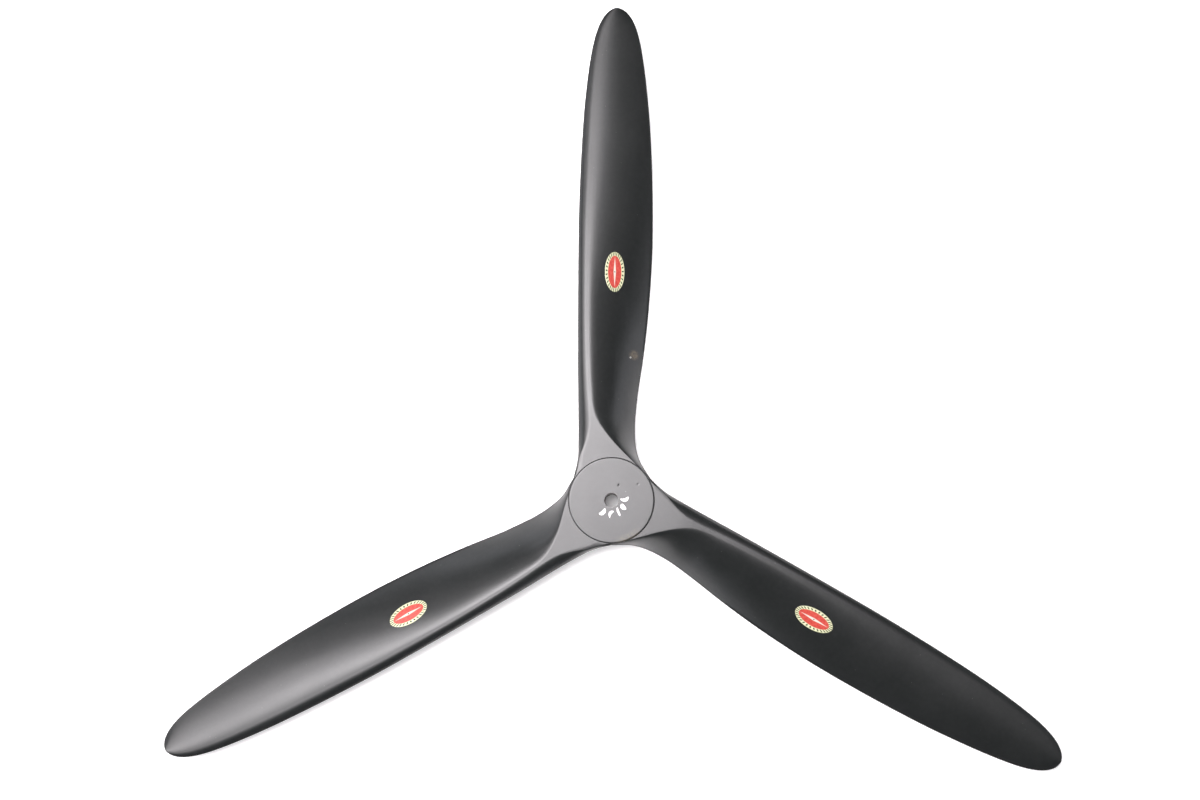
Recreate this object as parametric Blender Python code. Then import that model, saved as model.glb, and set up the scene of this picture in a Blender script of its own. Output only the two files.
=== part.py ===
# Three-blade wooden propeller for a model aircraft, painted satin black.
# Metres, +Z up and forward along the shaft. The origin is the centre of the bore at the rear face.
# Blade 1 points along +Y. Seen from the front the propeller turns counter-clockwise, so the
# leading edge of blade 1 is at -X and its trailing edge at +X.

import math

import bmesh
import bpy
from mathutils import Matrix

MM = 0.001

BLADE_COUNT = 3
TIP_RADIUS = 381.0 * MM

# the block that each blade is carved from, and the disc faces that stand proud of it
DISC_PROUD = 0.7 * MM
BLOCK_THICKNESS = 28.0 * MM
BLOCK_REAR = DISC_PROUD
BLOCK_FRONT = BLOCK_REAR + BLOCK_THICKNESS

# each root is set back from its mitre plane by half the glue line
MITRE_SETBACK = 0.15 * MM
ROOT_START = 1.2 * MM

# the bore for the shaft goes right through the hub: both discs and the three roots
BORE_RADIUS = 5.2 * MM

# hub discs and their recesses
DISC_RADIUS = 31.9 * MM
DISC_THICKNESS = 4.0 * MM
DISC_EDGE_BEVEL = 0.3 * MM
FIT_GAP = 0.3 * MM
ROUND_SEGMENTS = 72

# Every table below runs along the blade: distance from the shaft, then the value there, in mm.
# how far the leading and the trailing edge lie from the blade's axis, before the tip closes
LEADING_EDGE = [
    (16.5, 28.6), (22, 27.3), (28, 26.2), (36, 25.5), (60, 25.8), (100, 26.8),
    (205, 28.0), (250, 27.4), (295, 26.1), (340, 24.4), (381, 24.2),
]
TRAILING_EDGE = [
    (16.5, 28.6), (22, 25.2), (28, 21.7), (36, 18.9), (44, 17.6), (52, 17.1), (62, 17.3), (80, 19.2),
    (115, 23.9), (150, 27.1), (190, 28.8), (235, 28.5), (280, 26.8), (340, 23.3), (381, 22.9),
]
# the outline closes at the tip like a superellipse of this power
TIP_POWER = 12

# the flat root facet on the front runs out into the crest of the blade: its two bounds across
CREST_LEADING = [
    (16.5, -28.0), (25, -26.2), (34, -23.4), (42, -20.2), (50, -17.8), (58, -16.7), (66, -16.8),
    (76, -17.5), (100, -19.2), (140, -20.5), (200, -20.8), (270, -18.8), (345, -16.6), (381, -16.0),
]
CREST_TRAILING = [
    (16.5, 29.0), (25, 19.8), (34, 10.4), (42, 2.2), (50, -5.0), (58, -10.8), (66, -14.4),
    (76, -16.2), (100, -18.2), (140, -19.5), (200, -19.6), (270, -17.6), (345, -15.6), (381, -15.0),
]
# height of the crest over the rear face of the block
CREST_HEIGHT = [
    (16.5, 28.0), (50, 28.0), (58, 27.9), (66, 27.7), (76, 27.4), (100, 26.7), (140, 25.2),
    (200, 22.4), (270, 19.2), (345, 16.8), (381, 15.9),
]
# fall from the crest to the nose at the leading edge
NOSE_FALL = [
    (16.5, 0.4), (25, 2.0), (34, 3.6), (42, 4.7), (50, 5.3), (58, 5.7), (66, 5.7), (85, 5.2),
    (110, 4.4), (150, 3.8), (210, 3.3), (290, 2.8), (345, 2.1), (381, 1.5),
]
# power with which the front falls off to the nose, and the share of the rounding that is kept
NOSE_POWER = [(16.5, 1.5), (50, 1.6), (66, 1.8), (85, 2.0), (381, 2.0)]
NOSE_CUT = 0.8
# fall from the crest to the top of the trailing edge
TAIL_FALL = [
    (16.5, 0.3), (25, 4.4), (34, 12.0), (42, 17.0), (50, 20.3), (58, 22.3), (66, 23.5), (76, 24.5),
    (100, 24.7), (140, 23.3), (200, 18.8), (270, 12.8), (345, 8.6), (381, 6.8),
]
# slope just behind the crease, width over which the crease is rounded, power of the fall
TAIL_SLOPE = [
    (16.5, 0.50), (34, 0.52), (45, 0.54), (55, 0.50), (65, 0.46), (80, 0.38), (110, 0.28), (150, 0.28),
    (200, 0.10), (260, 0.0), (381, 0.0),
]
CREASE_ROUNDING = [
    (16.5, 0.6), (34, 0.8), (42, 1.4), (50, 2.8), (58, 3.6), (66, 3.8), (80, 3.3), (110, 3.4),
    (150, 5.0), (200, 6.0), (381, 6.0),
]
TAIL_POWER = [
    (16.5, 1.9), (34, 2.4), (50, 2.4), (66, 2.6), (80, 2.6), (110, 2.2), (150, 2.05), (200, 1.9),
    (270, 1.85), (381, 1.85),
]
# thickness of the trailing edge, and of the leading edge below the nose
TAIL_THICKNESS = [
    (16.5, 27.7), (25, 23.6), (34, 16.0), (42, 11.0), (50, 7.6), (58, 5.6), (66, 4.1), (76, 2.8),
    (100, 1.9), (140, 1.6), (200, 1.4), (270, 1.3), (381, 1.2),
]
NOSE_THICKNESS = [
    (16.5, 27.4), (25, 20.0), (34, 12.5), (42, 8.0), (50, 5.6), (58, 4.2), (76, 2.8), (100, 2.1),
    (200, 1.8), (345, 1.5), (381, 1.3),
]
# the facet on the rear: its bound across, and the power with which the rear face rises from it
REAR_CREASE = [
    (16.5, -29.0), (25, -19.8), (34, -10.4), (42, -2.2), (50, 5.0), (58, 10.8), (66, 15.0),
    (76, 18.5), (100, 22.0), (140, 26.0), (381, 28.0),
]
REAR_POWER = [(16.5, 1.7), (50, 1.6), (76, 1.2), (100, 1.0), (381, 1.0)]
# how far back from the nose the rear face rounds up to it, how high, and where this fades in
NOSE_ROUNDING = 3.2 * MM
NOSE_ROUNDING_RISE = 0.9 * MM
NOSE_ROUNDING_FADE = (26.0 * MM, 60.0 * MM)

# stations along the blade: where its stretches end, and the steps in each of them
ROOT_END = 16.5 * MM
FAIRING_END = 90.0 * MM
TIP_START = 330.0 * MM
TIP_END = TIP_RADIUS - 0.3 * MM
ROOT_STEPS = 2
FAIRING_STEPS = 20
MIDDLE_STEPS = 13
TIP_STEPS = 13

# points round the section in its five stretches, and the power that crowds them in three of these
FRONT_NOSE_POINTS = 7
FACET_POINTS = 3
FRONT_TAIL_POINTS = 10
REAR_POINTS = 7
REAR_NOSE_POINTS = 3
FRONT_NOSE_CROWDING = 1.8
FRONT_TAIL_CROWDING = 1.3
REAR_NOSE_CROWDING = 0.7
# the outermost points beside each edge, as a share of the blade's width
EDGE_SHARE = 0.004
# the least share of the width that each stretch keeps, and the one that the rear facet keeps
LEAST_SHARE = 0.03
LEAST_REAR_SHARE = 0.15

# edges that turn by more than this stay sharp in the shading
SHARP_ANGLE = math.radians(35.0)
# how far the cutters of the recesses and of the bore stand out of the block
CUTTER_CLEARANCE = 5.0 * MM

PAINT_COLOUR = (0.022, 0.023, 0.024, 1.0)
PAINT_ROUGHNESS = 0.4
DISC_COLOUR = (0.03, 0.03, 0.031, 1.0)
DISC_ROUGHNESS = 0.45


def clear_scene():
    for old in list(bpy.data.objects):
        bpy.data.objects.remove(old, do_unlink=True)


def make_material(name, colour, roughness):
    material = bpy.data.materials.new(name)
    material.use_nodes = True
    shader = material.node_tree.nodes["Principled BSDF"]
    shader.inputs["Base Color"].default_value = colour
    shader.inputs["Roughness"].default_value = roughness
    shader.inputs["Metallic"].default_value = 0.0
    return material


def smooth_curve(points, place):
    """Height of a smooth curve through the points (in mm) at a place along it, in metres."""
    place = place / MM
    last = len(points) - 1
    place = min(max(place, points[0][0]), points[last][0])
    index = 0
    while index < last - 1 and place > points[index + 1][0]:
        index += 1
    (x0, y0), (x1, y1) = points[index], points[index + 1]
    step = x1 - x0

    def slope(i):
        before = points[max(i - 1, 0)]
        after = points[min(i + 1, last)]
        return (after[1] - before[1]) / (after[0] - before[0])

    t = (place - x0) / step
    rise0 = slope(index) * step
    rise1 = slope(index + 1) * step
    height = (
        (2 * t ** 3 - 3 * t ** 2 + 1) * y0
        + (t ** 3 - 2 * t ** 2 + t) * rise0
        + (3 * t ** 2 - 2 * t ** 3) * y1
        + (t ** 3 - t ** 2) * rise1
    )
    return height * MM


def tip_factor(radius):
    return math.sqrt(max(1.0 - (radius / TIP_RADIUS) ** TIP_POWER, 0.0))


def edge_offsets(radius):
    """Places across the blade of its leading and its trailing edge."""
    mitre = radius * math.tan(math.pi / BLADE_COUNT) - MITRE_SETBACK / math.cos(math.pi / BLADE_COUNT)
    leading = smooth_curve(LEADING_EDGE, radius) * tip_factor(radius)
    trailing = smooth_curve(TRAILING_EDGE, radius) * tip_factor(radius)
    return -min(leading, mitre), min(trailing, mitre)


def curved_fall(distance, reach, fall, slope, power, rounding):
    """Fall behind a crease: it starts at a slope, rounded in, and steepens to its full depth."""
    distance = min(max(distance, 0.0), reach)
    start = math.sqrt(distance ** 2 + rounding ** 2) - rounding
    full_start = math.sqrt(reach ** 2 + rounding ** 2) - rounding
    return slope * start + (fall - slope * full_start) * (distance / reach) ** power


def rounded_end(distance, reach, power=2.0):
    """0 at the crest of a rounded edge and 1 at its end, where it stands upright."""
    share = min(max(distance / reach, 0.0), 1.0)
    return 1.0 - math.sqrt(1.0 - share ** power)


def nose_fall_share(distance, reach, power):
    """0 at the crest and 1 at the nose, which ends the rounding before it stands upright."""
    return rounded_end(NOSE_CUT * distance, reach, power) / rounded_end(NOSE_CUT, 1.0, power)


def section_shape(radius):
    """The named sizes of the blade's section at one radius, in metres."""
    leading, trailing = edge_offsets(radius)
    width = trailing - leading
    tip = tip_factor(radius)
    thinning = math.sqrt(tip)
    middle = 0.5 * BLOCK_THICKNESS
    crest = middle + (smooth_curve(CREST_HEIGHT, radius) - middle) * thinning
    least = LEAST_SHARE * width
    crest_leading = max(smooth_curve(CREST_LEADING, radius) * tip, leading + least)
    crest_trailing = smooth_curve(CREST_TRAILING, radius) * tip
    crest_trailing = min(max(crest_trailing, crest_leading + least), trailing - least)
    rear_crease = smooth_curve(REAR_CREASE, radius) * tip
    rear_crease = min(max(rear_crease, leading + LEAST_REAR_SHARE * width), trailing - least)
    fade_start, fade_end = NOSE_ROUNDING_FADE
    fade = min(max((radius - fade_start) / (fade_end - fade_start), 0.0), 1.0)
    nose = crest - smooth_curve(NOSE_FALL, radius) * thinning
    nose_low = nose - smooth_curve(NOSE_THICKNESS, radius) * thinning
    tail = crest - smooth_curve(TAIL_FALL, radius) * thinning
    return {
        "leading": leading,
        "trailing": trailing,
        "width": width,
        "crest": crest,
        "crest_leading": crest_leading,
        "crest_trailing": crest_trailing,
        "rear_crease": rear_crease,
        "nose": nose,
        "nose_low": nose_low,
        "nose_reach": 0.5 * least + NOSE_ROUNDING * fade * tip,
        "nose_rise": NOSE_ROUNDING_RISE * fade * thinning,
        "tail": tail,
        "tail_low": tail - smooth_curve(TAIL_THICKNESS, radius) * thinning,
        "slope": smooth_curve(TAIL_SLOPE, radius) / MM,
        "rounding": smooth_curve(CREASE_ROUNDING, radius),
        "power": smooth_curve(TAIL_POWER, radius) / MM,
        "nose_power": smooth_curve(NOSE_POWER, radius) / MM,
        "rear_power": smooth_curve(REAR_POWER, radius) / MM,
    }


def front_height(s, x):
    """Height of the cambered front of the blade at a place across it."""
    if x < s["crest_leading"]:
        reach = s["crest_leading"] - s["leading"]
        fall = s["crest"] - s["nose"]
        return s["crest"] - fall * nose_fall_share(s["crest_leading"] - x, reach, s["nose_power"])
    reach = s["trailing"] - s["crest_trailing"]
    distance = x - s["crest_trailing"]
    fall = s["crest"] - s["tail"]
    return s["crest"] - curved_fall(distance, reach, fall, s["slope"], s["power"], s["rounding"])


def rear_height(s, x):
    """Height of the rear of the blade, which is flat across outboard and meets the block inboard."""
    reach = s["rear_crease"] - s["leading"]
    rise = s["nose_low"] - s["tail_low"]
    slanted = rise * (max(s["rear_crease"] - x, 0.0) / reach) ** s["rear_power"]
    to_nose = s["nose_reach"] - (x - s["leading"])
    return s["tail_low"] + slanted + s["nose_rise"] * rounded_end(to_nose, s["nose_reach"])


def spread(start, end, count, power=1.0):
    """Places from start towards end, without start itself; a power over 1 crowds them at start."""
    return [start + (end - start) * (i / count) ** power for i in range(1, count + 1)]


def section(radius):
    """Points round the blade at one radius: over the front from leading to trailing edge and back."""
    s = section_shape(radius)
    edge = EDGE_SHARE * s["width"]
    tail_end = s["trailing"] - edge
    nose_end = s["leading"] + edge
    nose_start = s["leading"] + s["nose_reach"]
    front = spread(s["leading"], s["crest_leading"], FRONT_NOSE_POINTS, FRONT_NOSE_CROWDING)
    front += spread(s["crest_leading"], s["crest_trailing"], FACET_POINTS)
    front += spread(s["crest_trailing"], tail_end, FRONT_TAIL_POINTS, FRONT_TAIL_CROWDING)
    rear = [tail_end, 0.5 * (tail_end + s["rear_crease"]), s["rear_crease"]]
    rear += spread(s["rear_crease"], nose_start, REAR_POINTS)
    rear += spread(nose_start, nose_end, REAR_NOSE_POINTS, REAR_NOSE_CROWDING)
    nose_top = front_height(s, front[0])
    nose_bottom = rear_height(s, rear[-1])
    tail_top = front_height(s, front[-1])
    tail_bottom = rear_height(s, rear[0])
    points = [(s["leading"], 0.5 * (nose_top + nose_bottom))]
    points += [(x, front_height(s, x)) for x in front]
    points.append((s["trailing"], 0.5 * (tail_top + tail_bottom)))
    points += [(x, rear_height(s, x)) for x in rear]
    return [(x, BLOCK_REAR + z) for x, z in points]


def station_radii():
    """Stations along the blade: close together over the root fairing and at the tip."""
    radii = [ROOT_START]
    radii += spread(ROOT_START, ROOT_END, ROOT_STEPS)
    radii += spread(ROOT_END, FAIRING_END, FAIRING_STEPS)
    radii += spread(FAIRING_END, TIP_START, MIDDLE_STEPS)
    for i in range(1, TIP_STEPS + 1):
        radii.append(TIP_START + (TIP_END - TIP_START) * math.sin(0.5 * math.pi * i / TIP_STEPS))
    return radii


def loft_blade():
    """One blade along +Y, from its mitred root to its tip, before the hub is recessed and bored."""
    work = bmesh.new()
    rings = []
    for radius in station_radii():
        rings.append([work.verts.new((x, radius, z)) for x, z in section(radius)])
    for inner, outer in zip(rings, rings[1:]):
        count = len(inner)
        for i in range(count):
            j = (i + 1) % count
            work.faces.new((inner[i], inner[j], outer[j], outer[i]))
    work.faces.new(list(reversed(rings[0])))
    work.faces.new(rings[-1])
    bmesh.ops.recalc_face_normals(work, faces=work.faces)
    mesh = bpy.data.meshes.new("blade")
    work.to_mesh(mesh)
    work.free()
    return mesh


def turned_mesh(name, profile):
    """A solid turned about Z from (radius, height) points: a profile that starts and ends on the
    axis, or a closed outline clear of it, which leaves a hole."""
    work = bmesh.new()
    rings = []
    for radius, height in profile:
        if radius == 0.0:
            rings.append([work.verts.new((0.0, 0.0, height))])
            continue
        ring = []
        for i in range(ROUND_SEGMENTS):
            angle = 2.0 * math.pi * i / ROUND_SEGMENTS
            ring.append(work.verts.new((radius * math.cos(angle), radius * math.sin(angle), height)))
        rings.append(ring)
    pairs = list(zip(rings, rings[1:]))
    if profile[0][0] > 0.0:
        pairs.append((rings[-1], rings[0]))
    for low, high in pairs:
        for i in range(ROUND_SEGMENTS):
            j = (i + 1) % ROUND_SEGMENTS
            corners = [low[i % len(low)], low[j % len(low)], high[j % len(high)], high[i % len(high)]]
            unique = list(dict.fromkeys(corners))
            work.faces.new(unique)
    bmesh.ops.recalc_face_normals(work, faces=work.faces)
    mesh = bpy.data.meshes.new(name)
    work.to_mesh(mesh)
    work.free()
    return mesh


def add_object(name, mesh, material=None):
    thing = bpy.data.objects.new(name, mesh)
    bpy.context.scene.collection.objects.link(thing)
    if material:
        mesh.materials.clear()
        mesh.materials.append(material)
        mesh.shade_smooth()
        mesh.set_sharp_from_angle(angle=SHARP_ANGLE)
    return thing


def add_cutter(name, mesh):
    cutter = add_object(name, mesh)
    cutter.hide_render = True
    cutter.display_type = "WIRE"
    return cutter


def cut(thing, cutter):
    step = thing.modifiers.new("cut_" + cutter.name, "BOOLEAN")
    step.operation = "DIFFERENCE"
    step.solver = "EXACT"
    step.object = cutter


def make_hub_cutters():
    """Round cutters: the recesses for the two discs in front and behind, and the bore."""
    recess = DISC_RADIUS + FIT_GAP
    depth = DISC_THICKNESS - DISC_PROUD + FIT_GAP
    below = BLOCK_REAR - CUTTER_CLEARANCE
    above = BLOCK_FRONT + CUTTER_CLEARANCE
    cutters = []
    for name, radius, low, high in (
        ("front_recess", recess, BLOCK_FRONT - depth, above),
        ("rear_recess", recess, below, BLOCK_REAR + depth),
        ("bore", BORE_RADIUS, below, above),
    ):
        mesh = turned_mesh(name, [(0.0, low), (radius, low), (radius, high), (0.0, high)])
        cutters.append(add_cutter(name, mesh))
    return cutters


def make_blades(material):
    cutters = make_hub_cutters()
    mesh = loft_blade()
    for number in range(BLADE_COUNT):
        own_mesh = mesh.copy()
        own_mesh.transform(Matrix.Rotation(2.0 * math.pi * number / BLADE_COUNT, 4, "Z"))
        blade = add_object("blade_%d" % (number + 1), own_mesh, material)
        for cutter in cutters:
            cut(blade, cutter)


def make_front_disc(material):
    inner = BLOCK_FRONT + DISC_PROUD - DISC_THICKNESS
    outer = BLOCK_FRONT + DISC_PROUD
    mesh = turned_mesh("front_hub_disc", [
        (BORE_RADIUS, inner),
        (DISC_RADIUS, inner),
        (DISC_RADIUS, outer - DISC_EDGE_BEVEL),
        (DISC_RADIUS - DISC_EDGE_BEVEL, outer),
        (BORE_RADIUS, outer),
    ])
    add_object("front_hub_disc", mesh, material)


def make_rear_disc(material):
    mesh = turned_mesh("rear_hub_disc", [
        (BORE_RADIUS, 0.0),
        (DISC_RADIUS - DISC_EDGE_BEVEL, 0.0),
        (DISC_RADIUS, DISC_EDGE_BEVEL),
        (DISC_RADIUS, DISC_THICKNESS),
        (BORE_RADIUS, DISC_THICKNESS),
    ])
    add_object("rear_hub_disc", mesh, material)


def main():
    clear_scene()
    blade_paint = make_material("blade_paint", PAINT_COLOUR, PAINT_ROUGHNESS)
    make_blades(blade_paint)
    make_front_disc(make_material("front_disc_paint", DISC_COLOUR, DISC_ROUGHNESS))
    make_rear_disc(make_material("rear_disc_paint", DISC_COLOUR, DISC_ROUGHNESS))


main()
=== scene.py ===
# Looks of the three-blade wooden propeller, painted satin black, with three oval stickers.
# Metres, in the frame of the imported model: +Z up along the shaft, blade 1 along +Y.

import math

import bmesh
import bpy
from mathutils import Matrix, Vector, noise


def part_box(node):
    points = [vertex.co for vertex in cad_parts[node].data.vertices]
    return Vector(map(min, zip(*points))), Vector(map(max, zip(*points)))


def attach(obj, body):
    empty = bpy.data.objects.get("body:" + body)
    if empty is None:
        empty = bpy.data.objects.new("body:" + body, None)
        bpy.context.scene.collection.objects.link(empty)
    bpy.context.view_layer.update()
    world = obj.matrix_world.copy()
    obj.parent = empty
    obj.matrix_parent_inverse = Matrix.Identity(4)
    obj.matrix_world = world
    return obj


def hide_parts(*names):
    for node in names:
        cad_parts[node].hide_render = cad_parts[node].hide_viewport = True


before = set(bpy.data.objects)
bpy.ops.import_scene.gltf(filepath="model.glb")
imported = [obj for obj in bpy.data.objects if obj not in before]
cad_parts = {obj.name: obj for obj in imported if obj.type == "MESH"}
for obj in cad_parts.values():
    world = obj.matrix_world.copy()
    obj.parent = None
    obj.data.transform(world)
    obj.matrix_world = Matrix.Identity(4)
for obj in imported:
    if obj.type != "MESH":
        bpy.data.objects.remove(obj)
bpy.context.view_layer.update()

MM = 0.001
BLADE_COUNT = 3
BODY = "root"

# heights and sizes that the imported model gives
BLOCK_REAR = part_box("blade_1")[0].z
BLOCK_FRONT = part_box("blade_1")[1].z
BLOCK_THICKNESS = BLOCK_FRONT - BLOCK_REAR
DISC_LOW, DISC_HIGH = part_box("front_hub_disc")
DISC_TRIM = 0.1 * MM
DISC_RADIUS = DISC_HIGH.x - DISC_TRIM
DISC_THICKNESS = DISC_HIGH.z - DISC_LOW.z
DISC_TOP = DISC_HIGH.z

# The tables of the model's blade, with its crest strip up to 0.7 mm wider outboard.
# Distance from the shaft, then the value there, in mm.
TIP_RADIUS = 381.0 * MM
TIP_END = 0.3 * MM
TIP_POWER = 12
LEADING_EDGE = [
    (16.5, 28.6), (22, 27.3), (28, 26.2), (36, 25.5), (60, 25.8), (100, 26.8),
    (205, 28.0), (250, 27.4), (295, 26.1), (340, 24.4), (381, 24.2),
]
TRAILING_EDGE = [
    (16.5, 28.6), (22, 25.2), (28, 21.7), (36, 18.9), (44, 17.6), (52, 17.1), (62, 17.3),
    (80, 19.2), (115, 23.9), (150, 27.1), (190, 28.8), (235, 28.5), (280, 26.8), (340, 23.3),
    (381, 22.9),
]
CREST_LEADING = [
    (16.5, -28.0), (25, -26.2), (34, -23.4), (42, -20.2), (50, -17.8), (58, -16.7), (66, -16.8),
    (76, -17.5), (100, -19.4), (140, -21.0), (200, -21.4), (270, -19.5), (345, -17.1), (381, -16.0),
]
CREST_TRAILING = [
    (16.5, 29.0), (25, 19.8), (34, 10.4), (42, 2.2), (50, -5.0), (58, -10.8), (66, -14.4),
    (76, -16.2), (100, -18.2), (140, -19.5), (200, -19.6), (270, -17.6), (345, -15.6), (381, -15.0),
]
CREST_HEIGHT = [
    (16.5, 28.0), (50, 28.0), (58, 27.9), (66, 27.7), (76, 27.4), (100, 26.7), (140, 25.2),
    (200, 22.4), (270, 19.2), (345, 16.8), (381, 15.9),
]
NOSE_FALL = [
    (16.5, 0.4), (25, 2.0), (34, 3.6), (42, 4.7), (50, 5.3), (58, 5.7), (66, 5.7), (85, 5.2),
    (110, 4.4), (150, 3.8), (210, 3.3), (290, 2.8), (345, 2.1), (381, 1.5),
]
NOSE_CUT = 0.8
NOSE_POWER = [(16.5, 1.5), (50, 1.6), (66, 1.8), (85, 2.0), (381, 2.0)]
TAIL_FALL = [
    (16.5, 0.3), (25, 4.4), (34, 12.0), (42, 17.0), (50, 20.3), (58, 22.3), (66, 23.5), (76, 24.5),
    (100, 24.7), (140, 23.3), (200, 18.8), (270, 12.8), (345, 8.6), (381, 6.8),
]
TAIL_SLOPE = [
    (16.5, 0.50), (34, 0.52), (45, 0.54), (55, 0.50), (65, 0.46), (80, 0.38), (110, 0.28),
    (150, 0.28), (200, 0.10), (260, 0.0), (381, 0.0),
]
CREASE_ROUNDING = [
    (16.5, 0.6), (34, 0.8), (42, 1.4), (50, 2.8), (58, 3.6), (66, 3.8), (80, 3.3), (110, 3.4),
    (150, 5.0), (200, 6.0), (381, 6.0),
]
TAIL_POWER = [
    (16.5, 1.9), (34, 2.4), (50, 2.4), (66, 2.6), (80, 2.6), (110, 2.2), (150, 2.05), (200, 1.9),
    (270, 1.85), (381, 1.85),
]
TAIL_THICKNESS = [
    (16.5, 27.7), (25, 23.6), (34, 16.0), (42, 11.0), (50, 7.6), (58, 5.6), (66, 4.1), (76, 2.8),
    (100, 1.9), (140, 1.6), (200, 1.4), (270, 1.3), (381, 1.2),
]
NOSE_THICKNESS = [
    (16.5, 27.4), (25, 20.0), (34, 12.5), (42, 8.0), (50, 5.6), (58, 4.2), (76, 2.8), (100, 2.1),
    (200, 1.8), (345, 1.5), (381, 1.3),
]
REAR_CREASE = [
    (16.5, -29.0), (25, -19.8), (34, -10.4), (42, -2.2), (50, 5.0), (58, 10.8), (66, 15.0),
    (76, 18.5), (100, 22.0), (140, 26.0), (381, 28.0),
]
REAR_POWER = [(16.5, 1.7), (50, 1.6), (76, 1.2), (100, 1.0), (381, 1.0)]
NOSE_ROUNDING = 3.2 * MM
NOSE_ROUNDING_RISE = 0.9 * MM
NOSE_ROUNDING_FADE = (26.0 * MM, 60.0 * MM)
LEAST_SHARE = 0.03
LEAST_REAR_SHARE = 0.15
EDGE_SHARE = 0.004

# between two roots the paint closes all but twice this much of the model's gap
JOINT_SETBACK = 0.03 * MM
ROOT_START = 1.2 * MM
# the blades are set by hand: how far each tip stands towards its trailing side
BLADE_LEANS = [0.2 * MM, 2.1 * MM, -2.4 * MM]
LEAN_START = 20.0 * MM
# and carved by hand: how far the leading and the trailing edge of each stand off the common shape
NOSE_EXTRAS = [
    [(16.5, 0.0), (381, 0.0)],
    [
        (16.5, 0.0), (30, 0.8), (50, 1.2), (66, 1.1), (85, 0.8), (150, 0.4), (210, 0.4), (290, 0.9),
        (345, 0.9), (381, 0.3),
    ],
    [(16.5, 0.0), (381, 0.0)],
]
TAIL_EXTRAS = [
    [(16.5, 0.0), (40, -0.4), (66, -0.7), (85, -1.0), (150, -0.9), (210, -0.4), (381, -0.3)],
    [(16.5, 0.0), (30, 0.7), (40, 1.4), (66, 1.4), (85, 0.7), (150, 0.2), (381, 0.0)],
    [(16.5, 0.0), (381, 0.0)],
]
# trailing edge: corners rounded to this radius where the edge is thick enough
TAIL_CORNER = 0.45 * MM
TAIL_CORNER_SHARE = 0.02
TAIL_CORNER_POINTS = 5

# points round the fine section, and how they crowd at the start of a stretch
FRONT_NOSE_POINTS = 26
FRONT_NOSE_CROWDING = 1.8
FACET_POINTS = 12
FRONT_TAIL_POINTS = 38
FRONT_TAIL_CROWDING = 1.3
REAR_POINTS = 20
REAR_NOSE_POINTS = 8
REAR_NOSE_CROWDING = 0.7
# sections along the blade: stretches as (start, end, steps) in mm, then the rounded tip
STATION_STRETCHES = [
    (1.2, 16.5, 8), (16.5, 90, 90), (90, 104, 8), (104, 114, 26), (114, 330, 100),
]
TIP_STATIONS = 56

# a chip in the paint of blade 1, with a rubbed patch beside it: across, along and size
CHIP_PLACE = (13.2 * MM, 109.1 * MM)
CHIP_RADIUS = 0.75 * MM
CHIP_DEPTH = 0.22 * MM
CHIP_RIM_RADIUS = 1.5 * CHIP_RADIUS
CHIP_LEAST_NORMAL = 0.2
PATCH_PLACE = (15.9 * MM, 111.1 * MM)
PATCH_RADIUS = 3.1 * MM

# recess that the disc sits in, with its small gap, a little off the middle
RECESS_GAP = 0.45 * MM
RECESS_SHIFT = (0.14 * MM, -0.14 * MM)
CUTTER_CLEARANCE = 5.0 * MM
ROUND_SEGMENTS = 288

# edges that turn by more than this are shaded sharp, on bodies and on thin pieces
SHARP_ANGLE = math.radians(35.0)
THIN_SHARP_ANGLE = math.radians(60.0)

# the bore, how far the rims of the plates are rounded, and the points on each plate's outline
BORE_RADIUS = 5.2 * MM
DISC_EDGE_WIDTH = 1.2 * MM
DISC_EDGE_DEPTH = 0.4 * MM
DISC_EDGE_STEPS = 10
DISC_FACE_STEPS = 52
BORE_EDGE_ROUND = 0.12 * MM
BORE_EDGE_STEPS = 4
# two small dents in the disc's face: x, y, radius, depth
DISC_DENTS = [
    (5.1 * MM, 11.3 * MM, 0.95 * MM, 0.34 * MM),
    (19.5 * MM, 12.1 * MM, 0.95 * MM, 0.20 * MM),
]

# oval stickers: distance from the shaft, half length and half width, thickness and glue below it
STICKER_PLACE = 173.3 * MM
STICKER_HALF_LENGTH = 15.3 * MM
STICKER_HALF_WIDTH = 7.5 * MM
STICKER_THICKNESS = 0.10 * MM
STICKER_GLUE = 0.01 * MM
STICKER_RIM_SHARE = 0.994
STICKER_RIM_HEIGHT = 0.6 * STICKER_THICKNESS
STICKER_RINGS = 16
STICKER_SEGMENTS = 96
# the print: a red field slimmer than the border, with a pale lozenge and a dark dot in its middle,
# and a ring of beads halfway between the field and the rim
FIELD_HALF_LENGTH = 12.4 * MM
FIELD_HALF_WIDTH = 5.1 * MM
LOZENGE_HALF_LENGTH = 11.4 * MM
LOZENGE_HALF_WIDTH = 0.95 * MM
DOT_HALF = 0.42 * MM
DOT_SOFTNESS = 0.1 * MM
BEAD_HALF_LENGTH = 13.8 * MM
BEAD_HALF_WIDTH = 6.15 * MM
BEAD_SIZE = 0.14
BEAD_SLIMNESS = 1.2
BEADS = 29
# where each edge of the print starts and ends, and how dark the rim of the sticker is
FIELD_EDGE = (0.985, 1.015)
LOZENGE_EDGE = (0.92, 1.08)
BEAD_EDGE = (-0.05, 0.25)
RIM_EDGE = (0.955, 0.985)
RIM_SHADE = 0.25

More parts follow.
